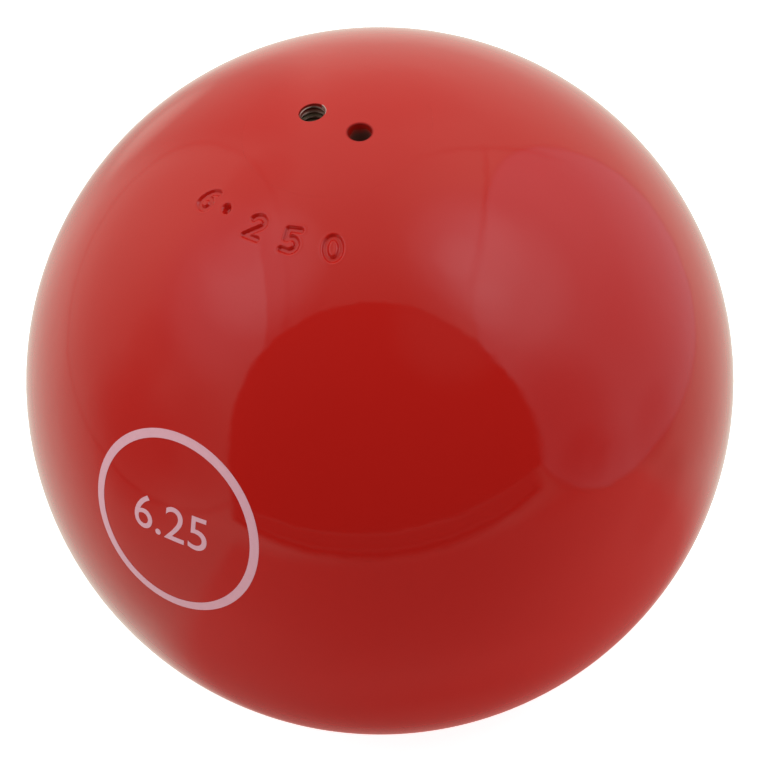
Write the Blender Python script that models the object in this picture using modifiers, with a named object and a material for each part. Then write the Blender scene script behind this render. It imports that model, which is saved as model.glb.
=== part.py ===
"""A 6.25 kg shot put: a turned iron ball round a lead core, closed by a screwed loading plug.

The origin is the ball's centre. +Z runs out through the middle of the loading plug, and +X lies on
the side of the plug's plain spanner hole. Sizes and heights are in millimetres, measured from the
ball's centre, and become metres where a mesh is made.
"""

import math

import bmesh
import bpy

MM = 0.001
GAP = 0.3  # between two pieces that touch, or that run in one another

# Ball
BALL_RADIUS = 59.0
BALL_STEPS = 72  # facets round each large turned piece, so that their edges line up

# Loading plug: a 24 x 1.5 thread under a head that is turned flush with the ball
HEAD_RADIUS = 15.0
HEAD_SEAT_Z = 52.0
THREAD_RADIUS = 12.0
THREAD_DEPTH = 0.92
UNDERCUT_LENGTH = 2.5
PLUG_END_Z = 40.0
PLUG_CHAMFER = 0.4

# Sealing washer under the head
WASHER_RADIUS = 14.7
WASHER_WIDTH = 2.4
WASHER_THICKNESS = 1.5
WASHER_EDGE = 0.25

# Chamber, drilled down from the plug's seat
CHAMBER_RADIUS = 11.0
CHAMBER_FLOOR_Z = -34.0
RUN_OUT_LENGTH = 2.0  # clear depth below the plug's end
DRILL_POINT_ANGLE = math.radians(118.0)

# Lead core, with a flat pocket bored in its top for the trim shot
LEAD_TOP_Z = 30.0
POCKET_RADIUS = 9.2
POCKET_DEPTH = 3.0
SHOT_RADIUS = 1.5
LOWER_SHOT_REACH = 2.01  # how far from the axis a shot's middle may lie, in pitches
UPPER_SHOT_REACH = 1.6

# Holes in the plug, on either side of its middle: a threaded port and a plain hole for a spanner
HOLE_OFFSET = 4.64
PORT_RADIUS = 2.35
PIN_HOLE_RADIUS = 1.92
PIN_HOLE_FLOOR_Z = 52.5
HOLE_STEPS = 32
CUT_PAST = 3.0  # how far a cutter runs past the surface that it opens

# Set screw, 3/16 inch across, well below the port's mouth, with a felt wad under it
SCREW_RADIUS = 2.05
SCREW_TOP_Z = 54.5
SCREW_LENGTH = 5.0
SCREW_CHAMFER = 0.45
SOCKET_ACROSS_FLATS = 2.38
SOCKET_DEPTH = 2.6
WAD_THICKNESS = 3.0
WAD_EDGE = 0.4

MERGE_DISTANCE = 1e-6
SHARP_ANGLE = math.radians(28.0)


def clear_scene():
    for obj in list(bpy.data.objects):
        bpy.data.objects.remove(obj, do_unlink=True)


def new_collection(name):
    collection = bpy.data.collections.new(name)
    bpy.context.scene.collection.children.link(collection)
    return collection


def linear(hex_colour):
    """An sRGB colour, such as 9c1a16, as linear red, green, blue and alpha."""
    channels = [int(hex_colour[i : i + 2], 16) / 255 for i in (0, 2, 4)]
    return [c / 12.92 if c <= 0.04045 else ((c + 0.055) / 1.055) ** 2.4 for c in channels] + [1.0]


def finish(name, hex_colour, roughness, metallic=0.0, coat=0.0):
    material = bpy.data.materials.new(name)
    material.use_nodes = True
    shader = material.node_tree.nodes["Principled BSDF"]
    shader.inputs["Base Color"].default_value = linear(hex_colour)
    shader.inputs["Roughness"].default_value = roughness
    shader.inputs["Metallic"].default_value = metallic
    shader.inputs["Coat Weight"].default_value = coat
    return material


def joint_axis(name, x, parent, collection):
    """An empty on an axis parallel to Z, which carries the pieces that turn about it."""
    empty = bpy.data.objects.new(name, None)
    empty.location.x = x * MM
    empty.parent = parent
    collection.objects.link(empty)
    return empty


def put(obj, parent, collection, material=None):
    obj.parent = parent
    collection.objects.link(obj)
    if material and not obj.data.materials:
        obj.data.materials.append(material)


def turned(name, profile, steps=BALL_STEPS):
    """A profile of (radius, height) pairs spun about Z. It runs down the outer side.

    A solid's profile starts and ends on the axis, and a ring's is closed here.
    """
    mesh = bpy.data.meshes.new(name)
    points = [(radius * MM, 0.0, height * MM) for radius, height in profile]
    edges = [(i, i + 1) for i in range(len(points) - 1)]
    if profile[0][0] > 0:
        edges.append((len(points) - 1, 0))
    mesh.from_pydata(points, edges, [])
    obj = bpy.data.objects.new(name, mesh)
    spin = obj.modifiers.new("Spin", "SCREW")
    spin.steps = steps
    spin.render_steps = steps
    spin.use_merge_vertices = True
    spin.merge_threshold = MERGE_DISTANCE
    return obj


def cut(obj, cutter, parent, cutters):
    """Cuts one object with another, which stays as a wire guide."""
    put(cutter, parent, cutters)
    cutter.hide_render = True
    cutter.display_type = "WIRE"
    hole = obj.modifiers.new(cutter.name, "BOOLEAN")
    hole.operation = "DIFFERENCE"
    hole.solver = "EXACT"
    hole.object = cutter


def fix_shape(obj):
    """Makes an object's modifiers into its mesh, shaded smooth between its sharp edges."""
    bpy.context.view_layer.update()
    graph = bpy.context.evaluated_depsgraph_get()
    mesh = bpy.data.meshes.new_from_object(obj.evaluated_get(graph))
    obj.modifiers.clear()
    obj.data = mesh
    mesh.shade_smooth()
    mesh.set_sharp_from_angle(angle=SHARP_ANGLE)


def angle_at(radius):
    """The angle from +Z at which the ball's surface has this radius about the axis."""
    return math.asin(radius / BALL_RADIUS)


def ball_arc(start, end):
    """Points down the ball's surface between two angles from +Z."""
    steps = round((end - start) / (2 * math.pi / BALL_STEPS))
    angles = [start + (end - start) * i / steps for i in range(steps + 1)]
    return [(BALL_RADIUS * math.sin(a), BALL_RADIUS * math.cos(a)) for a in angles]


def drill_point_depth(radius):
    return radius / math.tan(DRILL_POINT_ANGLE / 2)


def disc_profile(radius, top, bottom, edge):
    """A disc with broken edges, from the middle of its top to the middle of its bottom."""
    return [
        (0.0, top),
        (radius - edge, top),
        (radius, top - edge),
        (radius, bottom + edge),
        (radius - edge, bottom),
        (0.0, bottom),
    ]


def iron_ball():
    """Drill point, chamber, thread bore and washer seat, then the outside from top to bottom."""
    thread = THREAD_RADIUS + GAP
    recess = HEAD_RADIUS + GAP
    seat_z = HEAD_SEAT_Z - WASHER_THICKNESS - 2 * GAP
    chamber_top_z = PLUG_END_Z - RUN_OUT_LENGTH
    inside = [
        (0.0, CHAMBER_FLOOR_Z - drill_point_depth(CHAMBER_RADIUS)),
        (CHAMBER_RADIUS, CHAMBER_FLOOR_Z),
        (CHAMBER_RADIUS, chamber_top_z),
        (thread, chamber_top_z + thread - CHAMBER_RADIUS),
        (thread, seat_z - PLUG_CHAMFER),
        (thread + PLUG_CHAMFER, seat_z),
        (recess, seat_z),
    ]
    return turned("iron_ball", inside + ball_arc(angle_at(recess), math.pi))


def lead_core():
    """Cast to the chamber's drill point, with the shot's pocket bored in its top."""
    radius = CHAMBER_RADIUS - GAP
    chamber_tip_z = CHAMBER_FLOOR_Z - drill_point_depth(CHAMBER_RADIUS)
    tip_z = chamber_tip_z + GAP / math.sin(DRILL_POINT_ANGLE / 2)
    profile = [
        (0.0, LEAD_TOP_Z - POCKET_DEPTH),
        (POCKET_RADIUS, LEAD_TOP_Z - POCKET_DEPTH),
        (POCKET_RADIUS, LEAD_TOP_Z),
        (radius, LEAD_TOP_Z),
        (radius, tip_z + drill_point_depth(radius)),
        (0.0, tip_z),
    ]
    return turned("lead_core", profile)


def hexagonal_spots(pitch, reach, shift_x=0.0, shift_y=0.0):
    """Points of a hexagonal pattern, shifted, that lie within reach pitches of the axis."""
    spots = []
    span = math.ceil(reach) + 1
    for row in range(-span, span + 1):
        for column in range(-2 * span, 2 * span + 1):
            x = (column + row / 2) * pitch + shift_x
            y = row * pitch * math.sqrt(3) / 2 + shift_y
            if math.hypot(x, y) <= reach * pitch:
                spots.append((x, y))
    return spots


def trim_shot():
    """Loose shot in the pocket: a layer on its floor, and a second in the first one's hollows."""
    pitch = 2 * SHOT_RADIUS + GAP
    floor_z = LEAD_TOP_Z - POCKET_DEPTH + GAP + SHOT_RADIUS
    upper_z = floor_z + pitch * math.sqrt(2 / 3)
    layers = [
        (floor_z, hexagonal_spots(pitch, LOWER_SHOT_REACH)),
        (upper_z, hexagonal_spots(pitch, UPPER_SHOT_REACH, pitch / 2, pitch / math.sqrt(12))),
    ]
    shape = bmesh.new()
    bmesh.ops.create_icosphere(shape, subdivisions=2, radius=SHOT_RADIUS * MM)
    mesh = bpy.data.meshes.new("trim_shot")
    shape.to_mesh(mesh)
    shape.free()
    mesh.shade_smooth()
    shots = []
    for z, spots in layers:
        for x, y in spots:
            shot = bpy.data.objects.new(f"trim_shot_{len(shots) + 1:02d}", mesh)
            shot.location = (x * MM, y * MM, z * MM)
            shots.append(shot)
    return shots


def sealing_washer():
    """A flat ring with broken edges, round the plug's undercut."""
    top = HEAD_SEAT_Z - GAP
    bottom = top - WASHER_THICKNESS
    outer, inner, edge = WASHER_RADIUS, WASHER_RADIUS - WASHER_WIDTH, WASHER_EDGE
    profile = [
        (inner + edge, top),
        (outer - edge, top),
        (outer, top - edge),
        (outer, bottom + edge),
        (outer - edge, bottom),
        (inner + edge, bottom),
        (inner, bottom + edge),
        (inner, top - edge),
    ]
    return turned("sealing_washer", profile)


def loading_plug():
    """The head's round top, its edge, the undercut, the thread's outside and the chamfered end."""
    core = THREAD_RADIUS - THREAD_DEPTH
    undercut_z = HEAD_SEAT_Z - UNDERCUT_LENGTH
    below_the_top = [
        (HEAD_RADIUS, HEAD_SEAT_Z + PLUG_CHAMFER),
        (HEAD_RADIUS - PLUG_CHAMFER, HEAD_SEAT_Z),
        (core, HEAD_SEAT_Z),
        (core, undercut_z),
        (THREAD_RADIUS, undercut_z - THREAD_DEPTH),
        (THREAD_RADIUS, PLUG_END_Z + THREAD_DEPTH),
        (core, PLUG_END_Z),
        (0.0, PLUG_END_Z),
    ]
    return turned("loading_plug", ball_arc(0.0, angle_at(HEAD_RADIUS)) + below_the_top)


def port_cutter():
    """The threaded port, right through the plug."""
    top, bottom = BALL_RADIUS + CUT_PAST, PLUG_END_Z - CUT_PAST
    profile = [(0.0, top), (PORT_RADIUS, top), (PORT_RADIUS, bottom), (0.0, bottom)]
    return turned("port_cutter", profile, HOLE_STEPS)


def pin_hole_cutter():
    """The spanner's blind hole, with the drill's point at its end."""
    top, floor_z = BALL_RADIUS + CUT_PAST, PIN_HOLE_FLOOR_Z
    tip_z = floor_z - drill_point_depth(PIN_HOLE_RADIUS)
    profile = [(0.0, top), (PIN_HOLE_RADIUS, top), (PIN_HOLE_RADIUS, floor_z), (0.0, tip_z)]
    return turned("pin_hole_cutter", profile, HOLE_STEPS)


def set_screw():
    """A headless screw with a flat point."""
    profile = disc_profile(SCREW_RADIUS, SCREW_TOP_Z, SCREW_TOP_Z - SCREW_LENGTH, SCREW_CHAMFER)
    return turned("set_screw", profile, HOLE_STEPS)


def socket_cutter():
    """The key's hexagon, as a six-sided turning."""
    corner_radius = SOCKET_ACROSS_FLATS / math.sqrt(3)
    top, floor_z = SCREW_TOP_Z + CUT_PAST, SCREW_TOP_Z - SOCKET_DEPTH
    profile = [(0.0, top), (corner_radius, top), (corner_radius, floor_z), (0.0, floor_z)]
    return turned("socket_cutter", profile, 6)


def felt_wad():
    """A soft disc between the screw's point and the shot."""
    top = SCREW_TOP_Z - SCREW_LENGTH - GAP
    profile = disc_profile(SCREW_RADIUS, top, top - WAD_THICKNESS, WAD_EDGE)
    return turned("felt_wad", profile, HOLE_STEPS)


def main():
    clear_scene()
    parts = new_collection("Shot put")
    cutters = new_collection("Cutters")
    enamel = finish("Gloss red enamel", "a81c18", 0.12, coat=1.0)
    lead = finish("Cast lead", "6b6d70", 0.55, metallic=1.0)
    copper = finish("Soft copper", "b87350", 0.35, metallic=1.0)
    steel = finish("Blackened steel", "3a3835", 0.45, metallic=1.0)
    felt = finish("Grey felt", "8a8578", 0.95)

    ball_axis = joint_axis("ball_axis", 0.0, None, parts)
    plug_axis = joint_axis("plug_axis", 0.0, ball_axis, parts)
    port_axis = joint_axis("port_axis", -HOLE_OFFSET, plug_axis, parts)
    pin_hole_axis = joint_axis("pin_hole_axis", HOLE_OFFSET, plug_axis, parts)

    turnings = [
        (iron_ball(), ball_axis, enamel),
        (lead_core(), ball_axis, lead),
        (sealing_washer(), ball_axis, copper),
        (loading_plug(), plug_axis, enamel),
        (felt_wad(), port_axis, felt),
        (set_screw(), port_axis, steel),
    ]
    for obj, axis, material in turnings:
        put(obj, axis, parts, material)
    for shot in trim_shot():
        put(shot, ball_axis, parts, lead)

    plug = bpy.data.objects["loading_plug"]
    screw = bpy.data.objects["set_screw"]
    cut(plug, port_cutter(), port_axis, cutters)
    cut(plug, pin_hole_cutter(), pin_hole_axis, cutters)
    cut(screw, socket_cutter(), port_axis, cutters)
    for obj, _, _ in turnings:
        fix_shape(obj)


main()
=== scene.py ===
"""A red enamelled 6.25 kg shot put on a white floor, in a light tent that is open towards the camera.

Sizes are in millimetres from the ball's centre, +Z out through the middle of the loading plug, and
become metres where a mesh is made. Polar angles are from +Z and azimuths from +X, in degrees.
"""

import math

import bpy
import numpy as np
from mathutils import Euler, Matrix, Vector, geometry


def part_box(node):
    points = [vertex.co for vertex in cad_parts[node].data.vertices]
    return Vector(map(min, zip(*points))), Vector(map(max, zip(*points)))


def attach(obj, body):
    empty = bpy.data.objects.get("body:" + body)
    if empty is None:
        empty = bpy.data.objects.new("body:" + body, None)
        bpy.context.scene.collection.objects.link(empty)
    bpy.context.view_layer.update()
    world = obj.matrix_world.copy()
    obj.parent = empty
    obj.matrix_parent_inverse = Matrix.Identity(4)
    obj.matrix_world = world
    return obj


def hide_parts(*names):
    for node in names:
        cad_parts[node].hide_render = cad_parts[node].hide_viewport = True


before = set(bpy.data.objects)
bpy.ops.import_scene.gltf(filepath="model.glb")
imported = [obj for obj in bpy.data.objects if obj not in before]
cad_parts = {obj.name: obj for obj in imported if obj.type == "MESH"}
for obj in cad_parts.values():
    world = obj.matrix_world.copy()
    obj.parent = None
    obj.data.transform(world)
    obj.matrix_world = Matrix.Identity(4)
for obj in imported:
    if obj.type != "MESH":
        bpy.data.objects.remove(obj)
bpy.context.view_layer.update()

MM = 0.001


def reach(node):
    """The lowest and highest corners of a CAD node, in millimetres."""
    return [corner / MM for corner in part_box(node)]


# Sizes taken from the frame
BALL_RADIUS = reach("iron_ball")[1].x
PLUG_LOW, PLUG_HIGH = reach("loading_plug")
WASHER_LOW, WASHER_HIGH = reach("sealing_washer")
CORE_LOW, CORE_HIGH = reach("lead_core")
SCREW_LOW, SCREW_HIGH = reach("set_screw")
WAD_LOW, WAD_HIGH = reach("felt_wad")
SHOT_NODES = sorted(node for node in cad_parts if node.startswith("trim_shot_"))
HEAD_RADIUS = PLUG_HIGH.x
HOLE_OFFSET = -(SCREW_LOW.x + SCREW_HIGH.x) / 2
SCREW_RADIUS = (SCREW_HIGH.x - SCREW_LOW.x) / 2

# Fits that the CAD solids leave as plain gaps
GAP = 0.3
PAINT_IN_SEAM = 0.6  # how far paint has crept down beside the plug's head
HAIRLINE = 0.005  # between the plug's head and the ball, which the paint closes
HEAD_SEAT_Z = WASHER_HIGH.z + GAP
BALL_SEAT_Z = WASHER_LOW.z - GAP

# Loading plug thread, 24 mm x 1.5
PLUG_PITCH = 1.5
PLUG_THREAD_RADIUS = 12.0
PLUG_THREAD_DEPTH = 0.92
PLUG_CORE = PLUG_THREAD_RADIUS - PLUG_THREAD_DEPTH
UNDERCUT_LENGTH = 2.5
UNDERCUT_CORNER = [(0.35, 0.0), (0.1, 0.1), (0.0, 0.35)]  # rounded, out from the core and down
PLUG_CHAMFER = 0.4
THREAD_END = 0.3  # plain bore left below the ball's thread
PORT_THREAD_END = 0.01  # and at the port's lower end, so that the edge there stays round
SEAT_RING = 1.6  # from the ball's thread to the ring on its seat where the mesh steps change
WASHER_WIDTH = 2.4
WASHER_EDGE = 0.25

# Port and set screw thread, 3/16 inch x 24
PORT_X = -HOLE_OFFSET
PORT_PITCH = 25.4 / 24
SCREW_THREAD_DEPTH = 0.43
SCREW_CORE = SCREW_RADIUS - SCREW_THREAD_DEPTH
SCREW_CHAMFER = 0.45
PORT_CORE = SCREW_CORE + GAP
PORT_THREAD_DEPTH = 0.36
PORT_START = 0.48  # in turns: a crest comes up to the mouth on the side away from the camera
PORT_MOUTH_RADIUS = 2.24
PORT_LIP = 0.12
PORT_PAINTED = 0.22  # depth of the painted wall under the lip
PORT_COUNTERSINK = 0.12
# The port's chip, which is also a painted highlight on its lip
PORT_CHIP_AND_HIGHLIGHT = (14, 80)  # degrees round the port
SOCKET_ACROSS_FLATS = 2.38
SOCKET_DEPTH = 2.6
SOCKET_DRILL_POINT = 0.45  # from the hexagon's floor to the drilled tip below it
SOCKET_EDGE = 0.12

# Plain hole for a pin spanner
PIN_HOLE_FLOOR_Z = 52.5
PIN_HOLE_MOUTH_RADIUS = 2.3
PIN_HOLE_LIP = 0.5
PIN_HOLE_RADIUS = PIN_HOLE_MOUTH_RADIUS - PIN_HOLE_LIP
DRILL_POINT = math.tan(math.radians(118 / 2))
PAINT_RUN_Z = 57.6  # where the paint inside the holes runs out

# Chamber in the ball
CHAMBER_RADIUS = CORE_HIGH.x + GAP
CHAMBER_TOP_Z = PLUG_LOW.z - 2.0
CHAMBER_FLOOR_Z = -34.0
POCKET_RADIUS = 9.2
POCKET_DEPTH = 3.0
POCKET_CORNER = 0.3
POCKET_EDGE = 0.2
CORE_EDGE = 0.4
SHOT_RADIUS = 1.5
SHOT_UNEVENNESS = 0.05

# Felt wad, cut a little smaller than the room for it
WAD_LOOSE = 0.12
WAD_EDGE = 0.4
WAD_BULGE = 0.04  # how far its middle swells out under the screw
FIBRE_LENGTH = 0.1
FIBRE_RADIUS = 0.012
FIBRES_PER_SQUARE_METRE = 9e6

# Steps round and along the finished pieces
ROUND = 144
HOLE_ROUND = 48
THREAD_STEPS = 16  # rings in each turn of a thread
CAP_STEP = 0.9  # between the points of the plug's cap
END_STEP = 1.6  # and of its lower end
SHARP = math.radians(32)

# Stamped number: plain figures about 5 mm high, struck one at a time round the plug
STAMP_POLAR = 22.4
STAMP_REACH = 3.0  # from the middle of a figure to the edge of its fine mesh
STROKE_HALF_WIDTH = 0.66
STROKE_FLOOR = 0.3  # share of a stroke's width that is flat
STAMP_DEPTH = 0.42
BURR_HEIGHT = 0.02
DOT_HALF_WIDTH = 0.95
DOT_FLOOR = 0.15
DOT_DEPTH = 0.95
STAMP_FINE = 0.09  # mesh step under the figures
BALL_STEP = 2.5  # coarse mesh step elsewhere, in degrees

# Printed ring with a plain number
PRINT_POLAR = 70.2
PRINT_AZIMUTH = 272.9
PRINT_OUTER_RADIUS = 15.5
PRINT_INNER_RADIUS = 14.05
PRINT_FIGURE_HEIGHT = 8.6
INK_THICKNESS = 0.03

# Camera, as the photograph's
CAMERA_AZIMUTH = 43.2
CAMERA_ELEVATION = 46.03
CAMERA_ROLL = 9.65
CAMERA_DISTANCE = 590.0
CAMERA_LENS = 166.6
IMAGE_SIZE = 761
BALL_CENTRE_PIXEL = (379.82, 380.75)
FLOOR_HALF_WIDTH = 3000.0

# Kinds of node that most of the trees use, and a setting that many of them share
MATH = "ShaderNodeMath"
VECTOR = "ShaderNodeVectorMath"
RANGE = "ShaderNodeMapRange"
MIX = "ShaderNodeMix"
NOISE = "ShaderNodeTexNoise"
SOFT = {"interpolation_type": "SMOOTHSTEP"}


def linear(hex_colour):
    """An sRGB colour, such as b8241d, as linear red, green, blue and alpha."""
    channels = [int(hex_colour[i : i + 2], 16) / 255 for i in (0, 2, 4)]
    return [c / 12.92 if c <= 0.04045 else ((c + 0.055) / 1.055) ** 2.4 for c in channels] + [1.0]


def fill(tree, node, inputs):
    """Gives a node's inputs, by name or in order, values or links. A node stands for its first output."""
    if not isinstance(inputs, dict):
        inputs = dict(enumerate(inputs))
    for name, value in inputs.items():
        if isinstance(value, bpy.types.Node):
            value = value.outputs[0]
        if isinstance(value, bpy.types.NodeSocket):
            tree.links.new(value, node.inputs[name])
        else:
            node.inputs[name].default_value = value


def add(tree, kind, inputs=(), **settings):
    """Adds a node with these settings and inputs."""
    node = tree.nodes.new(kind)
    for name, value in settings.items():
        setattr(node, name, value)
    fill(tree, node, inputs)
    return node


def from_axis(tree, place, axis):
    """A place as seen from an upright axis, the same without its height, and how far off it is."""
    out = add(tree, VECTOR, (place, axis), operation="SUBTRACT")
    flat = add(tree, VECTOR, (out, (1, 1, 0)), operation="MULTIPLY")
    return out, flat, add(tree, VECTOR, (flat,), operation="LENGTH").outputs["Value"]


# Geometry Nodes

THREAD_SIZES = ("Pitch", "Core Radius", "Depth", "Bottom", "Top", "Axis X")
THREAD_SLACK = 1e-6  # metres past its limits that a thread still takes in
ALL_ROUND = 6.28  # the most that a thing set down at random is turned, in radians


def new_tree(name, **labels):
    """A Geometry Nodes tree with inputs of these labels, by kind, and a finish. It gives both."""
    tree = bpy.data.node_groups.new(name, "GeometryNodeTree")
    tree.interface.new_socket("Geometry", in_out="INPUT", socket_type="NodeSocketGeometry")
    for kind, named in {**labels, "Material": ["Finish"]}.items():
        for label in named:
            tree.interface.new_socket(label, in_out="INPUT", socket_type=f"NodeSocket{kind}")
    tree.interface.new_socket("Geometry", in_out="OUTPUT", socket_type="NodeSocketGeometry")
    return tree, add(tree, "NodeGroupInput").outputs


def end_tree(tree, geometry_socket, finish, selection=None):
    """Realises the instances, gives them their finish, and ends the tree there."""
    whole = add(tree, "GeometryNodeRealizeInstances", {"Geometry": geometry_socket})
    painted = add(tree, "GeometryNodeSetMaterial", {"Geometry": whole, "Material": finish})
    if selection:
        fill(tree, painted, {"Selection": selection})
    add(tree, "NodeGroupOutput", {"Geometry": painted})


def grow(obj, tree, values):
    """Runs a tree on an object and keeps its result as the object's plain mesh."""
    modifier = obj.modifiers.new(tree.name, "NODES")
    modifier.node_group = tree
    for item in tree.interface.items_tree:
        if item.in_out == "INPUT" and item.name in values:
            modifier[item.identifier] = values[item.name]
    bpy.context.view_layer.update()
    graph = bpy.context.evaluated_depsgraph_get()
    mesh = bpy.data.meshes.new_from_object(obj.evaluated_get(graph))
    obj.modifiers.clear()
    obj.data = mesh
    return obj


def cut_thread_tree():
    """Cuts a right-hand thread with straight flanks into a round blank, or a bore, about an upright axis.

    The blank keeps its own radius where that is already inside the thread's form, as at a chamfer.
    """
    tree, given = new_tree("Cut thread", Float=(*THREAD_SIZES, "Start"), Bool=["In A Bore"])
    place = add(tree, "GeometryNodeInputPosition")
    axis = add(tree, "ShaderNodeCombineXYZ", {"X": given["Axis X"]})
    out, flat, radius = from_axis(tree, place, axis)
    parts = add(tree, "ShaderNodeSeparateXYZ", {0: out}).outputs
    core, depth = given["Core Radius"], given["Depth"]

    turn = add(tree, MATH, (parts["Y"], parts["X"]), operation="ARCTAN2")
    turn = add(tree, MATH, (turn, 2 * math.pi), operation="DIVIDE")
    wave = add(tree, MATH, (parts["Z"], given["Pitch"]), operation="DIVIDE")
    steps = [("SUBTRACT", turn), ("SUBTRACT", given["Start"]), ("MULTIPLY", 2.0), ("PINGPONG", 1.0)]
    for operation, other in steps:
        wave = add(tree, MATH, (wave, other), operation=operation)
    # An eighth of the pitch is left flat at each crest and root.
    form = add(tree, RANGE, {"Value": wave, "From Min": 0.125, "From Max": 0.875})
    height = add(tree, MATH, (form, depth), operation="MULTIPLY")
    thread = add(tree, MATH, (height, core), operation="ADD")
    smaller = add(tree, MATH, (radius, thread), operation="MINIMUM")
    larger = add(tree, MATH, (radius, thread), operation="MAXIMUM")
    switch = {"Switch": given["In A Bore"], "False": smaller, "True": larger}
    wanted = add(tree, "GeometryNodeSwitch", switch, input_type="FLOAT")

    crest = add(tree, MATH, (core, depth), operation="ADD")
    inside = None
    for value, low, high in ((parts["Z"], given["Bottom"], given["Top"]), (radius, core, crest)):
        limits = ("GREATER_THAN", low, -THREAD_SLACK), ("LESS_THAN", high, THREAD_SLACK)
        for operation, limit, slack in limits:
            limit = add(tree, MATH, (limit, slack), operation="ADD")
            test = add(tree, MATH, (value, limit), operation=operation)
            inside = add(tree, MATH, (inside, test), operation="MULTIPLY") if inside else test

    growth = add(tree, MATH, (wanted, radius), operation="SUBTRACT")
    away = add(tree, VECTOR, (flat,), operation="NORMALIZE")
    offset = add(tree, VECTOR, {0: away, "Scale": growth}, operation="SCALE")
    moved = {"Geometry": given["Geometry"], "Selection": inside, "Offset": offset}
    shaped = add(tree, "GeometryNodeSetPosition", moved)
    end_tree(tree, shaped, given["Finish"], inside)
    return tree


def poured_shot_tree():
    """Sets a slightly uneven lead ball on each point."""
    tree, given = new_tree("Poured shot", Float=("Radius", "Unevenness"))
    ball = add(tree, "GeometryNodeMeshIcoSphere", {"Radius": given["Radius"], "Subdivisions": 4})
    turn = {0: (0, 0, 0), 1: (ALL_ROUND, ALL_ROUND, ALL_ROUND), "Seed": 3}
    turn = add(tree, "FunctionNodeRandomValue", turn, data_type="FLOAT_VECTOR")
    size = add(tree, "FunctionNodeRandomValue", {2: 0.95, 3: 1.0, "Seed": 8}, data_type="FLOAT")
    placed = {"Points": given["Geometry"], "Instance": ball, "Rotation": turn, "Scale": size.outputs[1]}
    balls = add(tree, "GeometryNodeInstanceOnPoints", placed)
    balls = add(tree, "GeometryNodeRealizeInstances", {"Geometry": balls})
    lumps = add(tree, NOISE, {"Scale": 700.0, "Detail": 2.0})
    inward = add(tree, MATH, (lumps, given["Unevenness"]), operation="MULTIPLY")
    inward = add(tree, MATH, (inward, -1.0), operation="MULTIPLY")
    normal = add(tree, "GeometryNodeInputNormal")
    offset = add(tree, VECTOR, {0: normal, "Scale": inward}, operation="SCALE")
    uneven = add(tree, "GeometryNodeSetPosition", {"Geometry": balls, "Offset": offset})
    smoothed = add(tree, "GeometryNodeSetShadeSmooth", {"Geometry": uneven})
    end_tree(tree, smoothed, given["Finish"])
    return tree


def felt_fuzz_tree():
    """Stands short bent wool fibres all over a pressed felt piece."""
    sizes = "Fibre Length", "Fibre Radius", "Density"
    tree, given = new_tree("Felt fuzz", Float=sizes, Int=["Seed"])
    spread = {"Mesh": given["Geometry"], "Density": given["Density"], "Seed": given["Seed"]}
    roots = add(tree, "GeometryNodeDistributePointsOnFaces", spread)
    rise = add(tree, "ShaderNodeCombineXYZ", {"Z": given["Fibre Length"]})
    lean = add(tree, "ShaderNodeCombineXYZ", {"X": given["Fibre Length"], "Z": given["Fibre Length"]})
    bend = {"Resolution": 5, "Start": (0, 0, 0), "Middle": rise, "End": lean}
    bent = add(tree, "GeometryNodeCurveQuadraticBezier", bend)
    section = {"Resolution": 3, "Radius": given["Fibre Radius"]}
    section = add(tree, "GeometryNodeCurvePrimitiveCircle", section, mode="RADIUS")
    swept = {"Curve": bent, "Profile Curve": section, "Fill Caps": True}
    fibre = add(tree, "GeometryNodeCurveToMesh", swept)
    spin = {2: 0.0, 3: ALL_ROUND, "Seed": 5}
    spin = add(tree, "FunctionNodeRandomValue", spin, data_type="FLOAT").outputs[1]
    twist = add(tree, "ShaderNodeCombineXYZ", {"Z": spin})
    turned = {"Rotation": roots.outputs["Rotation"], "Rotate By": twist}
    turned = add(tree, "FunctionNodeRotateRotation", turned, rotation_space="LOCAL")
    size = {2: 0.35, 3: 1.0, "Seed": 6}
    size = add(tree, "FunctionNodeRandomValue", size, data_type="FLOAT").outputs[1]
    placed = {"Points": roots.outputs["Points"], "Instance": fibre, "Rotation": turned, "Scale": size}
    fuzz = add(tree, "GeometryNodeInstanceOnPoints", placed)
    both = add(tree, "GeometryNodeJoinGeometry")
    fill(tree, both, {0: fuzz})
    fill(tree, both, {0: given["Geometry"]})
    end_tree(tree, both, given["Finish"])
    return tree


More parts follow.
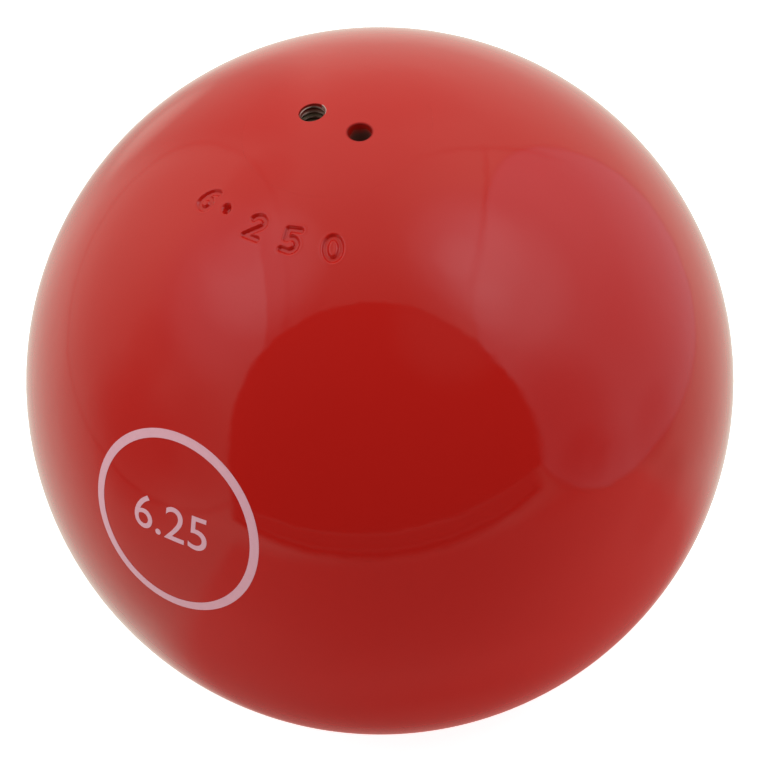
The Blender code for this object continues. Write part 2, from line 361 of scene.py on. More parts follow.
def screen_print_tree():
    """Fills a ring and a line of figures, and wraps the ink film round a ball."""
    edges = "Ring Outer Radius", "Ring Inner Radius"
    sizes = ("Figure Height", *edges, "Ball Radius", "Ink Thickness")
    tree, given = new_tree("Screen print", String=["Figures"], Float=sizes, Rotation=["Turn"])
    outlines = add(tree, "GeometryNodeJoinGeometry")
    for edge in edges:
        circle = {"Resolution": 180, "Radius": given[edge]}
        circle = add(tree, "GeometryNodeCurvePrimitiveCircle", circle, mode="RADIUS")
        fill(tree, outlines, {0: circle})
    written = {"String": given["Figures"], "Size": given["Figure Height"]}
    written = add(tree, "GeometryNodeStringToCurves", written, align_x="CENTER", align_y="MIDDLE")
    written = add(tree, "GeometryNodeRealizeInstances", {"Geometry": written})
    fill(tree, outlines, {0: written})
    filled = add(tree, "GeometryNodeFillCurve", {"Curve": outlines})
    fine = add(tree, "GeometryNodeSubdivideMesh", {"Mesh": filled, "Level": 2})

    place = add(tree, "GeometryNodeInputPosition")
    square = add(tree, VECTOR, (place, place), operation="DOT_PRODUCT").outputs["Value"]
    ball = given["Ball Radius"]
    rest = add(tree, MATH, (ball, ball), operation="MULTIPLY")
    rest = add(tree, MATH, (rest, square), operation="SUBTRACT")
    rise = add(tree, MATH, (rest,), operation="SQRT")
    rise = add(tree, "ShaderNodeCombineXYZ", {"Z": rise})
    wrapped = add(tree, "GeometryNodeSetPosition", {"Geometry": fine, "Offset": rise})

    away = add(tree, VECTOR, (place,), operation="NORMALIZE")
    layers = add(tree, "GeometryNodeJoinGeometry")
    film = {"Mesh": wrapped, "Offset": away, "Offset Scale": given["Ink Thickness"]}
    film = add(tree, "GeometryNodeExtrudeMesh", {**film, "Individual": False})
    under = add(tree, "GeometryNodeFlipFaces", {"Mesh": wrapped})
    fill(tree, layers, {0: film})
    fill(tree, layers, {0: under})
    merged = add(tree, "GeometryNodeMergeByDistance", {"Geometry": layers, "Distance": 1e-6})
    turned = add(tree, "GeometryNodeTransform", {"Geometry": merged, "Rotation": given["Turn"]})
    end_tree(tree, turned, given["Finish"])
    return tree


# Making meshes


def new_object(name, points=(), faces=()):
    """An object in the scene, with a mesh of its own from points in metres."""
    mesh = bpy.data.meshes.new(name)
    mesh.from_pydata(points, [], faces)
    obj = bpy.data.objects.new(name, mesh)
    bpy.context.scene.collection.objects.link(obj)
    return obj


class Skin:
    """The points and faces of one piece as it is made, in millimetres, with a finish for each face."""

    def __init__(self):
        self.points = []
        self.faces = []
        self.finishes = []

    def ring(self, points):
        """Adds points, and gives their numbers."""
        start = len(self.points)
        self.points.extend(tuple(point) for point in points)
        return list(range(start, len(self.points)))

    def circle(self, radius, z, angles, x=0.0):
        """A level ring about an upright axis, or one point where the radius is 0."""
        if radius == 0:
            return self.ring([(x, 0.0, z)])
        return self.ring((x + radius * math.cos(a), radius * math.sin(a), z) for a in angles)

    def face(self, corners, finish):
        self.faces.append(corners)
        self.finishes.append(finish)

    def band(self, first, second, finish):
        """Faces between two rings. They look outwards where the second ring is the lower one."""
        if len(first) == 1:
            for a, b in zip(second, second[1:] + second[:1]):
                self.face((first[0], a, b), finish)
        elif len(second) == 1:
            for a, b in zip(first, first[1:] + first[:1]):
                self.face((a, second[0], b), finish)
        elif len(first) == len(second):
            for i in range(len(first)):
                j = (i + 1) % len(first)
                self.face((first[i], second[i], second[j], first[j]), finish)
        else:
            self.zip_rings(first, second, finish)

    def zip_rings(self, first, second, finish):
        """Triangles between two rings of unlike counts that both start at angle 0 about Z."""
        turns = []
        for ring in (first, second):
            angles = [math.atan2(self.points[i][1], self.points[i][0]) % (2 * math.pi) for i in ring]
            turns.append(angles[1:] + [2 * math.pi])
        i = j = 0
        while i < len(first) or j < len(second):
            a, b = first[i % len(first)], second[j % len(second)]
            if j == len(second) or (i < len(first) and turns[0][i] <= turns[1][j]):
                i += 1
                self.face((a, b, first[i % len(first)]), finish)
            else:
                j += 1
                self.face((a, b, second[j % len(second)]), finish)

    def turn(self, profile, finish, angles, start=None, x=0.0):
        """Joins a profile of (radius, height) pairs on to a ring, and gives the last ring."""
        last = start
        for radius, z in profile:
            ring = self.circle(radius, z, angles, x)
            if last is not None:
                self.band(last, ring, finish)
            last = ring
        return last

    def piece(self, name):
        """Makes the piece's object, with a slot for each finish."""
        obj = new_object(name, (np.array(self.points) * MM).tolist(), self.faces)
        slots = {finish: i for i, finish in enumerate(dict.fromkeys(self.finishes))}
        for finish in slots:
            obj.data.materials.append(finish)
        obj.data.polygons.foreach_set("material_index", [slots[finish] for finish in self.finishes])
        smooth(obj)
        return obj


def smooth(obj):
    obj.data.shade_smooth()
    obj.data.set_sharp_from_angle(angle=SHARP)


def round_angles(count):
    return [2 * math.pi * i / count for i in range(count)]


def heights(start, end, step):
    """Evenly spaced heights from start to end, about a step apart."""
    count = max(1, round(abs(end - start) / step))
    return [start + (end - start) * i / count for i in range(count + 1)]


def threaded(radius, start, end, pitch):
    """An upright wall of a profile, with rings close enough for a thread. The start is left out."""
    return [(radius, z) for z in heights(start, end, pitch / THREAD_STEPS)[1:]]


def slope(radius, z, end_radius, end_z, count):
    """A straight run of a profile, in count steps."""
    shares = [i / count for i in range(count + 1)]
    return [(radius + (end_radius - radius) * s, z + (end_z - z) * s) for s in shares]


def growing(start, end, fine, coarse):
    """Places from start to end whose steps grow from fine to coarse. The start is left out."""
    places, step = [start], fine
    while places[-1] < end:
        step = min(step * 1.25, coarse)
        places.append(places[-1] + step)
    stretch = (end - start) / (places[-1] - start)
    return [start + (place - start) * stretch for place in places[1:]]


def rounded(radius, z, size, towards=1, steps=4):
    """A quarter round from the top of a disc, size inside its edge, to its side."""
    turns = [math.pi / 2 * i / steps for i in range(steps + 1)]
    inner = radius - size
    return [(inner + size * math.sin(t), z - towards * (size - size * math.cos(t))) for t in turns]


def keep_round(obj, first_points, normals):
    """Gives the faces on an object's first points exact normals, so that gloss shows no facets."""
    mesh = obj.data
    loops = np.empty(len(mesh.loops), np.int32)
    mesh.loops.foreach_get("vertex_index", loops)
    starts = np.empty(len(mesh.polygons), np.int32)
    mesh.polygons.foreach_get("loop_start", starts)
    totals = np.diff(np.append(starts, len(loops)))
    outside = np.maximum.reduceat(loops, starts) < first_points
    wanted = np.zeros((len(loops), 3))
    on_skin = np.repeat(outside, totals)
    wanted[on_skin] = normals[loops[on_skin]]
    mesh.normals_split_custom_set(wanted.tolist())


# The stamped number


def outward(polar, azimuth):
    """The directions out from the ball's centre at these angles, in radians."""
    aside = np.sin(polar)
    return np.stack([aside * np.cos(azimuth), aside * np.sin(azimuth), np.cos(polar)], -1)


def bow(x, y, rx, ry, start, end, steps=14):
    """Points along part of an ellipse, between two angles in degrees."""
    turns = [math.radians(start + (end - start) * i / steps) for i in range(steps + 1)]
    return [(x + rx * math.cos(t), y + ry * math.sin(t)) for t in turns]


# Strokes of each punch, in millimetres from the middle of its figure
PUNCHES = {
    "6": [bow(0.75, -0.75, 1.85, 2.6, 100, 180), bow(-0.05, -0.8, 1.05, 1.02, 0, 360, 24)],
    "2": [bow(0.0, 0.85, 1.1, 0.98, 162, -32) + [(-1.15, -1.78), (1.15, -1.78)]],
    "5": [
        [(1.15, 1.8), (-0.75, 1.8), (-0.85, 0.15)]
        + bow(-0.05, -0.72, 1.1, 1.12, 128, -110, 18)
        + [(-1.25, -1.6)]
    ],
    "0": [bow(0.0, 0.0, 1.2, 1.85, 0, 360, 28)],
    ".": [[(-0.3, 0.1), (-0.1, -0.15)]],
}

# Each blow: figure, polar angle, azimuth, how far the punch leans in degrees, and how hard it was struck
BLOWS = [
    ("6", 22.7, 243.5, 3.0, 0.95),
    (".", 21.7, 254.0, 0.0, 1.0),
    ("2", 21.8, 270.7, 1.0, 1.05),
    ("5", 22.3, 287.3, 2.0, 1.0),
    ("0", 23.3, 304.2, -3.0, 0.9),
]


def punched(distance, half_width, floor, depth):
    """The surface's height by a stroke: a flat-bottomed groove, and the burr pushed up beside it."""
    climb = np.clip((distance / half_width - floor) / (1 - floor), 0, 1)
    groove = -depth * (1 - climb * climb * (3 - 2 * climb))
    burr = BURR_HEIGHT * np.exp(-(((distance / half_width - 1.25) / 0.25) ** 2))
    return groove + burr


def stamped_height(polar, azimuth):
    """How far the stamp moves the ball's surface in or out at each of these angles, in radians."""
    around = outward(polar, azimuth)
    height = np.zeros(polar.shape)
    for figure, blow_polar, blow_azimuth, lean, force in BLOWS:
        turn = Euler((math.radians(blow_polar), 0.0, math.radians(blow_azimuth + 90))).to_matrix()
        turn = np.array(turn @ Euler((0.0, 0.0, math.radians(lean))).to_matrix())
        u, v, w = (around @ turn).transpose(2, 0, 1) * BALL_RADIUS
        near = (w > 0) & (np.hypot(u, v) < STAMP_REACH + 1.0)
        distance = np.full(polar.shape, np.inf)
        for stroke in PUNCHES[figure]:
            for (x0, y0), (x1, y1) in zip(stroke, stroke[1:]):
                dx, dy = x1 - x0, y1 - y0
                along = np.clip(((u - x0) * dx + (v - y0) * dy) / (dx * dx + dy * dy), 0, 1)
                distance = np.minimum(distance, np.hypot(u - x0 - along * dx, v - y0 - along * dy))
        if figure == ".":
            mark = punched(distance, DOT_HALF_WIDTH, DOT_FLOOR, DOT_DEPTH * force)
        else:
            mark = punched(distance, STROKE_HALF_WIDTH, STROKE_FLOOR, STAMP_DEPTH * force)
        height += np.where(near, mark, 0.0)
    return height


# Pieces


def ball_grid():
    """Polar angles and azimuths of the ball's outside in radians, close together under the stamp."""
    half = math.degrees(STAMP_REACH / BALL_RADIUS)
    fine = math.degrees(STAMP_FINE / BALL_RADIUS)
    mouth = math.degrees(math.asin((HEAD_RADIUS + HAIRLINE) / BALL_RADIUS))
    first, last = STAMP_POLAR - half, STAMP_POLAR + half + 0.5
    above = heights(mouth, first, 3 * fine)[:-1]
    polar = above + heights(first, last, fine) + growing(last, 180.0, fine, BALL_STEP)[:-1]

    widen = 1 / math.sin(math.radians(STAMP_POLAR))
    azimuths = [azimuth for _, _, azimuth, _, _ in BLOWS]
    first, last = min(azimuths) - half * widen, max(azimuths) + half * widen
    below = growing(-first, 0.0, fine * widen, BALL_STEP)
    after = growing(last, 360.0, fine * widen, BALL_STEP)[:-1]
    azimuth = [-place for place in reversed(below)] + heights(first, last, fine * widen) + after
    return np.radians(np.array(polar)), np.radians(np.array(azimuth))


def ball_piece(enamel, iron, thread):
    """The ball: its stamped outside, the plug's seat and thread, and the drilled chamber."""
    polar, azimuth = ball_grid()
    rows, columns = np.meshgrid(polar, azimuth, indexing="ij")
    height = stamped_height(rows, columns)
    slope_down = np.gradient(height, polar, axis=0) / BALL_RADIUS
    slope_round = np.gradient(height, azimuth, axis=1) / (BALL_RADIUS * np.sin(rows))
    out = outward(rows, columns)
    down = np.stack([np.cos(rows) * np.cos(columns), np.cos(rows) * np.sin(columns), -np.sin(rows)], -1)
    round_z = np.stack([-np.sin(columns), np.cos(columns), np.zeros(rows.shape)], -1)
    normals = out - slope_down[..., None] * down - slope_round[..., None] * round_z
    normals /= np.linalg.norm(normals, axis=-1)[..., None]

    skin = Skin()
    rings = [skin.ring(row) for row in (out * (BALL_RADIUS + height)[..., None]).tolist()]
    pole = skin.ring([(0.0, 0.0, -BALL_RADIUS)])
    for upper, lower in zip(rings, rings[1:] + [pole]):
        skin.band(upper, lower, enamel)
    outside = len(skin.points)
    normals = np.vstack([normals.reshape(-1, 3), [[0.0, 0.0, -1.0]]])

    recess = HEAD_RADIUS + HAIRLINE
    bore = PLUG_CORE + GAP
    opening = PLUG_THREAD_RADIUS + GAP
    mouth_z = math.sqrt(BALL_RADIUS**2 - recess**2)
    seat = skin.circle(recess, BALL_SEAT_Z, azimuth)
    wall = skin.turn([(recess, mouth_z - PAINT_IN_SEAM)], iron, azimuth, start=seat)
    skin.band(wall, rings[0], enamel)

    angles = round_angles(ROUND)
    profile = [(0.0, CHAMBER_FLOOR_Z - CHAMBER_RADIUS / DRILL_POINT)]
    profile += [(CHAMBER_RADIUS, CHAMBER_FLOOR_Z), (CHAMBER_RADIUS, CHAMBER_TOP_Z)]
    thread_bottom = CHAMBER_TOP_Z + bore - CHAMBER_RADIUS
    sink = opening - bore + PLUG_CHAMFER
    thread_top = BALL_SEAT_Z - sink
    profile += [(bore, thread_bottom)] + threaded(bore, thread_bottom, thread_top, PLUG_PITCH)
    profile += [(bore + sink * i / 6, thread_top + sink * i / 6) for i in range(1, 7)]
    profile += [(PLUG_THREAD_RADIUS + SEAT_RING, BALL_SEAT_Z)]
    last = skin.turn(profile, iron, angles)
    skin.band(last, seat, iron)
    obj = skin.piece("enamelled_ball")
    sizes = (PLUG_PITCH, bore, PLUG_THREAD_DEPTH, thread_bottom + THREAD_END, BALL_SEAT_Z, 0.0)
    cut_thread(obj, thread, iron, True, sizes)
    smooth(obj)
    keep_round(obj, outside, normals)
    return obj


def cut_thread(obj, thread, finish, in_a_bore, sizes, start=0.0):
    """Cuts a thread whose sizes are given in the order of THREAD_SIZES, in millimetres."""
    values = {label: size * MM for label, size in zip(THREAD_SIZES, sizes)}
    grow(obj, thread, {**values, "Start": start, "In A Bore": in_a_bore, "Finish": finish})


def pierced_disc(skin, rim, holes, spacing, height_at, finish, upward=True):
    """Fills a rim ring with triangles, but for its holes, each given as (ring, x, radius)."""
    flat = [skin.points[i][:2] for i in rim]
    numbers = list(rim)
    loops = [list(range(len(rim)))]
    for ring, _, _ in holes:
        loops.append(list(range(len(flat), len(flat) + len(ring))))
        flat += [skin.points[i][:2] for i in ring]
        numbers += ring
    radius = math.hypot(*flat[0])
    row_height = spacing * math.sqrt(3) / 2
    span = int(radius / row_height) + 1
    inside = []
    for row in range(-span, span + 1):
        for column in range(-span - 1, span + 2):
            x, y = (column + (row % 2) / 2) * spacing, row * row_height
            clear = all(math.hypot(x - hx, y) > hr + 0.4 * spacing for _, hx, hr in holes)
            if clear and math.hypot(x, y) < radius - 0.6 * spacing:
                inside.append((x, y))
    numbers += skin.ring((x, y, height_at(x, y)) for x, y in inside)
    edges = [(a, b) for loop in loops for a, b in zip(loop, loop[1:] + loop[:1])]
    points = [Vector(point) for point in flat + inside]
    found, _, triangles, origins, _, _ = geometry.delaunay_2d_cdt(points, edges, [], 0, 1e-6)
    for triangle in triangles:
        x = sum(found[i].x for i in triangle) / 3
        y = sum(found[i].y for i in triangle) / 3
        if any(math.hypot(x - hx, y) < hr for _, hx, hr in holes):
            continue
        corners = [numbers[origins[i][0]] for i in triangle]
        skin.face(tuple(corners if upward else reversed(corners)), finish)


def on_cap(x, y):
    return math.sqrt(BALL_RADIUS**2 - x * x - y * y)


def cap_circle(skin, x, radius):
    """A ring round an upright hole, on the plug's cap."""
    spots = [(x + radius * math.cos(a), radius * math.sin(a)) for a in round_angles(HOLE_ROUND)]
    return skin.ring((px, py, on_cap(px, py)) for px, py in spots)


def chip_paint(skin, count, chip, bare):
    """Bares a ring's faces, the last ones made, between a chip's two angles, in degrees round the hole."""
    for i in range(count):
        if chip[0] < 360 * (i + 0.5) / count < chip[1]:
            skin.finishes[i - count] = bare


def rolled_lip(skin, edge, x, lip, finish, flatness=1.0, chip=(0, 0), bare=None, steps=4):
    """Rolls the cap's paint over into an upright hole, from its ring on the cap. It gives the inner ring."""
    last = edge
    for step in range(1, steps + 1):
        turn = math.pi / 2 * step / steps
        inward, drop = lip * math.sin(turn), flatness * lip * (1 - math.cos(turn))
        ring = []
        for i in edge:
            px, py, pz = skin.points[i]
            share = 1 - inward / math.hypot(px - x, py)
            ring.append((x + (px - x) * share, py * share, pz - drop))
        ring = skin.ring(ring)
        skin.band(ring, last, finish)
        chip_paint(skin, len(ring), chip, bare)
        last = ring
    return last


def plug_piece(enamel, iron, thread):
    """The loading plug: its cap flush with the ball, both holes, the undercut and the thread."""
    skin = Skin()
    thinned, tapped, bare = thinned_enamel(), tapped_iron(), bare_edge_with_highlight()
    port, pin_hole = (PORT_X, PORT_MOUTH_RADIUS), (HOLE_OFFSET, PIN_HOLE_MOUTH_RADIUS)
    # Each hole's lip is painted darker inward, as shade in the recess.
    port_rim = worn_and_shaded_enamel("Worn and shaded enamel at the port", *port, PORT_LIP, "96231a")
    pin_rim = worn_and_shaded_enamel("Worn and shaded enamel at the pin hole", *pin_hole, PIN_HOLE_LIP, "7c0f0a")
    angles, hole_angles = round_angles(ROUND), round_angles(HOLE_ROUND)
    edge_z = on_cap(HEAD_RADIUS, 0.0)
    rim = skin.circle(HEAD_RADIUS, edge_z, angles)
    port_edge, pin_edge = cap_circle(skin, *port), cap_circle(skin, *pin_hole)
    pierced_disc(skin, rim, [(port_edge, *port), (pin_edge, *pin_hole)], CAP_STEP, on_cap, enamel)
    outside = len(skin.points)
    normals = np.array(skin.points) / BALL_RADIUS

    # Plain hole, which the paint runs a little way into
    wall = rolled_lip(skin, pin_edge, HOLE_OFFSET, PIN_HOLE_LIP, pin_rim, 0.4)
    tip = [(0.0, PIN_HOLE_FLOOR_Z - PIN_HOLE_RADIUS / DRILL_POINT), (PIN_HOLE_RADIUS, PIN_HOLE_FLOOR_Z)]
    last = skin.turn(tip, thinned, hole_angles, x=HOLE_OFFSET)
    skin.band(last, wall, thinned)

    # Threaded port, right through, its mouth cut through the paint
    # The chip on the lip is bare iron and a painted highlight.
    wall = rolled_lip(skin, port_edge, PORT_X, PORT_LIP, port_rim, 1.0, PORT_CHIP_AND_HIGHLIGHT, bare)
    paint_end = min(skin.points[i][2] for i in wall) - PORT_PAINTED
    bore_top = paint_end - PORT_COUNTERSINK
    paint_ring = skin.circle(PORT_MOUTH_RADIUS - PORT_LIP, paint_end, hole_angles, PORT_X)
    skin.band(paint_ring, wall, port_rim)
    chip_paint(skin, len(wall), PORT_CHIP_AND_HIGHLIGHT, bare)
    exit_ring = skin.circle(PORT_CORE, PLUG_LOW.z, hole_angles, PORT_X)
    profile = threaded(PORT_CORE, PLUG_LOW.z, bore_top, PORT_PITCH)
    last = skin.turn(profile, tapped, hole_angles, start=exit_ring, x=PORT_X)
    skin.band(last, paint_ring, tapped)
    chip_paint(skin, len(wall), PORT_CHIP_AND_HIGHLIGHT, bare)

    # Head, undercut and thread
    undercut_z = HEAD_SEAT_Z - UNDERCUT_LENGTH
    thread_top = undercut_z - PLUG_THREAD_DEPTH
    thread_bottom = PLUG_LOW.z + PLUG_THREAD_DEPTH
    last = skin.turn([(HEAD_RADIUS, edge_z - PAINT_IN_SEAM)], enamel, angles, start=rim)
    profile = [(HEAD_RADIUS, HEAD_SEAT_Z + PLUG_CHAMFER), (HEAD_RADIUS - PLUG_CHAMFER, HEAD_SEAT_Z)]
    profile += [(PLUG_CORE + out, HEAD_SEAT_Z - down) for out, down in UNDERCUT_CORNER]
    profile += slope(PLUG_CORE, undercut_z, PLUG_THREAD_RADIUS, thread_top, 8)
    profile += threaded(PLUG_THREAD_RADIUS, thread_top, thread_bottom, PLUG_PITCH)
    profile += slope(PLUG_THREAD_RADIUS, thread_bottom, PLUG_CORE, PLUG_LOW.z, 8)[1:]
    last = skin.turn(profile, iron, angles, start=last)
    through = [(exit_ring, PORT_X, PORT_CORE)]
    pierced_disc(skin, last, through, END_STEP, lambda x, y: PLUG_LOW.z, iron, upward=False)
    obj = skin.piece("enamelled_plug")
    sizes = (PLUG_PITCH, PLUG_CORE, PLUG_THREAD_DEPTH, PLUG_LOW.z, undercut_z, 0.0)
    cut_thread(obj, thread, iron, False, sizes)
    sizes = (PORT_PITCH, PORT_CORE, PORT_THREAD_DEPTH, PLUG_LOW.z + PORT_THREAD_END, bore_top, PORT_X)
    cut_thread(obj, thread, tapped, True, sizes, PORT_START)
    smooth(obj)
    keep_round(obj, outside, normals)
    return obj


def screw_piece(steel, thread):
    """The headless set screw, with its hexagonal socket and flat point."""
    skin = Skin()
    x, top, low = PORT_X, SCREW_HIGH.z, SCREW_LOW.z
    angles = round_angles(HOLE_ROUND)
    hexagon = []
    for a in angles:
        across = (a + math.pi / 6) % (math.pi / 3) - math.pi / 6
        hexagon.append((SOCKET_ACROSS_FLATS / 2 / math.cos(across), a))

    def hexagonal_ring(z, scale=1.0):
        return skin.ring((x + scale * r * math.cos(a), scale * r * math.sin(a), z) for r, a in hexagon)

    floor = top - SOCKET_DEPTH
    tip = skin.circle(0, floor - SOCKET_DRILL_POINT, angles, x)
    bottom = hexagonal_ring(floor - 0.05, 0.96)
    walls = [bottom, hexagonal_ring(floor), hexagonal_ring(top - SOCKET_EDGE)]
    walls += [hexagonal_ring(top, 1.06)]
    skin.band(tip, bottom, steel)
    for lower, upper in zip(walls, walls[1:]):
        skin.band(lower, upper, steel)
    profile = slope(SCREW_CORE, top, SCREW_RADIUS, top - SCREW_CHAMFER, 4)
    profile += threaded(SCREW_RADIUS, top - SCREW_CHAMFER, low + SCREW_CHAMFER, PORT_PITCH)
    profile += slope(SCREW_RADIUS, low + SCREW_CHAMFER, SCREW_CORE, low, 4)[1:]
    profile += [(SCREW_CORE - 0.3, low), (0.0, low)]
    skin.turn(profile, steel, angles, start=walls[-1], x=x)
    obj = skin.piece("socket_set_screw")
    sizes = (PORT_PITCH, SCREW_CORE, SCREW_THREAD_DEPTH, low, top, x)
    cut_thread(obj, thread, steel, False, sizes, PORT_START)
    smooth(obj)
    return obj


def washer_piece(copper):
    """The flat copper sealing ring, its edges rounded by the press that cut it."""
    skin = Skin()
    outer, top, low = WASHER_HIGH.x, WASHER_HIGH.z, WASHER_LOW.z
    inner, edge = outer - WASHER_WIDTH, WASHER_EDGE
    profile = [(inner + edge, top)] + rounded(outer, top, edge) + rounded(outer, low, edge, -1)[::-1]
    turns = [math.pi / 2 * i / 4 for i in range(5)]
    profile += [(inner + edge - edge * math.sin(t), low + edge - edge * math.cos(t)) for t in turns]
    profile += [(inner + edge - edge * math.cos(t), top - edge + edge * math.sin(t)) for t in turns[:-1]]
    angles = round_angles(ROUND)
    first = skin.circle(*profile[0], angles)
    last = skin.turn(profile[1:], copper, angles, start=first)
    skin.band(last, first, copper)
    return skin.piece("copper_washer")


def core_piece(lead):
    """The cast lead core, with the pocket bored in its top for the shot."""
    skin = Skin()
    radius, top, floor = CORE_HIGH.x, CORE_HIGH.z, CORE_HIGH.z - POCKET_DEPTH
    profile = [(0.0, floor), (POCKET_RADIUS - POCKET_CORNER, floor)]
    profile += [(POCKET_RADIUS - 0.09, floor + 0.09), (POCKET_RADIUS, floor + POCKET_CORNER)]
    profile += [(POCKET_RADIUS, top - POCKET_EDGE), (POCKET_RADIUS + POCKET_EDGE, top)]
    profile += rounded(radius, top, CORE_EDGE) + [(radius, CHAMBER_FLOOR_Z + 0.2)]
    profile += [(radius - 0.3, CHAMBER_FLOOR_Z), (0.4, CORE_LOW.z + 0.12), (0.0, CORE_LOW.z)]
    skin.turn(profile, lead, round_angles(ROUND))
    return skin.piece("lead_casting")


def wad_piece(felt, fuzz):
    """The felt wad under the set screw: a punched disc, pressed a little out of true."""
    skin = Skin()
    x, radius = PORT_X, (WAD_HIGH.x - WAD_LOW.x) / 2 - WAD_LOOSE
    top, low = WAD_HIGH.z - 0.05, WAD_LOW.z + 0.1
    middle = (top + low) / 2
    profile = [(0.0, top), (radius * 0.5, top - 0.02)] + rounded(radius, top, WAD_EDGE)
    profile += [(radius + WAD_BULGE, middle)] + rounded(radius, low, WAD_EDGE, -1)[::-1]
    profile += [(0.0, low)]
    skin.turn(profile, felt, round_angles(HOLE_ROUND), x=x)
    obj = skin.piece("felt_disc")
    fibres = {"Fibre Length": FIBRE_LENGTH * MM, "Fibre Radius": FIBRE_RADIUS * MM}
    grow(obj, fuzz, {**fibres, "Density": FIBRES_PER_SQUARE_METRE, "Seed": 11, "Finish": felt})
    smooth(obj)
    return obj


def shot_piece(lead, pour):
    """The loose trim shot, one ball in the place of each CAD node."""
    boxes = [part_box(node) for node in SHOT_NODES]
    obj = new_object("lead_shot", [(low + high) / 2 for low, high in boxes])
    sizes = {"Radius": SHOT_RADIUS * MM, "Unevenness": SHOT_UNEVENNESS * MM}
    return grow(obj, pour, {**sizes, "Finish": lead})


def print_piece(ink, press):
    """The printed ring and its plain number, upright towards the plug."""
    obj = new_object("printed_ring")
    sizes = {
        "Figure Height": PRINT_FIGURE_HEIGHT,
        "Ring Outer Radius": PRINT_OUTER_RADIUS,
        "Ring Inner Radius": PRINT_INNER_RADIUS,
        "Ball Radius": BALL_RADIUS,
        "Ink Thickness": INK_THICKNESS,
    }
    values = {label: size * MM for label, size in sizes.items()}
    turn = Euler((math.radians(PRINT_POLAR), 0.0, math.radians(PRINT_AZIMUTH + 90)))
    grow(obj, press, {**values, "Figures": "6.25", "Turn": turn, "Finish": ink})
    smooth(obj)
    return obj


# Finishes. Their patterns follow Object coordinates, so a scale is how many patches a metre holds.


def new_finish(name):
    """A material, with its tree, its shader, and the places that its patterns follow."""
    material = bpy.data.materials.new(name)
    material.use_nodes = True
    tree = material.node_tree
    place = add(tree, "ShaderNodeTexCoord").outputs["Object"]
    return material, tree, tree.nodes["Principled BSDF"], place


def clouded_finish(name, scale, detail, first, second, rough=None, **inputs):
    """A finish whose colour drifts between two with a cloud, and its roughness where it has two."""
    material, tree, shader, place = new_finish(name)
    cloud = add(tree, NOISE, {"Vector": place, "Scale": scale, "Detail": detail})
    colour = add(tree, MIX, {0: cloud, 6: linear(first), 7: linear(second)}, data_type="RGBA")
    if rough:
        inputs["Roughness"] = add(tree, RANGE, (cloud, 0.0, 1.0, *rough))
    fill(tree, shader, {"Base Color": colour.outputs[2], **inputs})
    return material, tree, shader, place, cloud


def gloss_enamel():
    """Stoved gloss enamel: one clear, hard film, so that it mirrors the tent over a deep red."""
    material, tree, shader, place, _ = clouded_finish(
        "Gloss red enamel", 30.0, 3.0, "c7211a", "bf1d17", IOR=1.5
    )
    # Handling has left the film a little less clear in places.
    worn = add(tree, NOISE, {"Vector": place, "Scale": 60.0, "Detail": 5.0})
    rough = add(tree, RANGE, (worn, 0.35, 0.75, 0.045, 0.085))
    # Orange peel: waves about 5 mm apart, too shallow to see but for the edges of what it mirrors.
    peel = add(tree, NOISE, {"Vector": place, "Scale": 200.0, "Detail": 2.0})
    bump = add(tree, "ShaderNodeBump", {"Height": peel, "Strength": 0.6, "Distance": 0.00005})
    fill(tree, shader, {"Roughness": rough, "Normal": bump})
    return material


def worn_and_shaded_enamel(name, x, mouth, lip, worn):
    """The enamel where it rolls over into a hole: thinner, and darker the further in, which is painted
    shade.
    """
    material, tree, shader, place = new_finish(name)
    *_, away = from_axis(tree, place, (x * MM, 0.0, 0.0))
    near = add(tree, RANGE, (away, mouth * MM, (mouth - lip) * MM), **SOFT)
    # Painted shade: the red darkens towards the inside of the hole.
    colour = add(tree, MIX, {0: near, 6: linear("c3201a"), 7: linear(worn)}, data_type="RGBA")
    rough = add(tree, RANGE, (near, 0.0, 1.0, 0.08, 0.6))
    dulled = add(tree, RANGE, (near, 0.0, 0.7, 0.5, 0.08))
    inputs = {"Base Color": colour.outputs[2], "Roughness": rough, "Specular IOR Level": dulled}
    fill(tree, shader, inputs)
    return material


def thinned_enamel():
    """Sprayed enamel running out down the inside of a hole, over dark scaled iron."""
    material, tree, shader, place = new_finish("Enamel thinning over iron")
    height = add(tree, "ShaderNodeSeparateXYZ", (place,)).outputs["Z"]
    cloud = add(tree, NOISE, {"Vector": place, "Scale": 900.0, "Detail": 4.0})
    uneven = add(tree, MATH, (cloud, 0.9 * MM, height), operation="MULTIPLY_ADD")
    run = (uneven, (PAINT_RUN_Z + 1.1) * MM, (PAINT_RUN_Z - 0.5) * MM)
    bare = add(tree, RANGE, run, **SOFT)
    colour = add(tree, MIX, {0: bare, 6: linear("a8160f"), 7: linear("6a3f34")}, data_type="RGBA")
    rough = add(tree, RANGE, (bare, 0.0, 1.0, 0.12, 0.7))
    fill(tree, shader, {"Base Color": colour.outputs[2], "Roughness": rough})
    return material


def machined_iron():
    """Cast iron as the tool left it, grey and finely ringed, with a trace of oil."""
    material, tree, shader, place, _ = clouded_finish(
        "Machined cast iron", 260.0, 6.0, "8d8a86", "63605c", (0.25, 0.5), Metallic=0.6
    )
    # The tool's rings are about a third of a millimetre apart.
    marks = {"Vector": place, "Scale": 900.0, "Distortion": 0.6}
    marks = add(tree, "ShaderNodeTexWave", marks, bands_direction="Z").outputs[1]
    bump = add(tree, "ShaderNodeBump", {"Height": marks, "Strength": 0.15, "Distance": 0.0001})
    fill(tree, shader, {"Normal": bump})
    return material


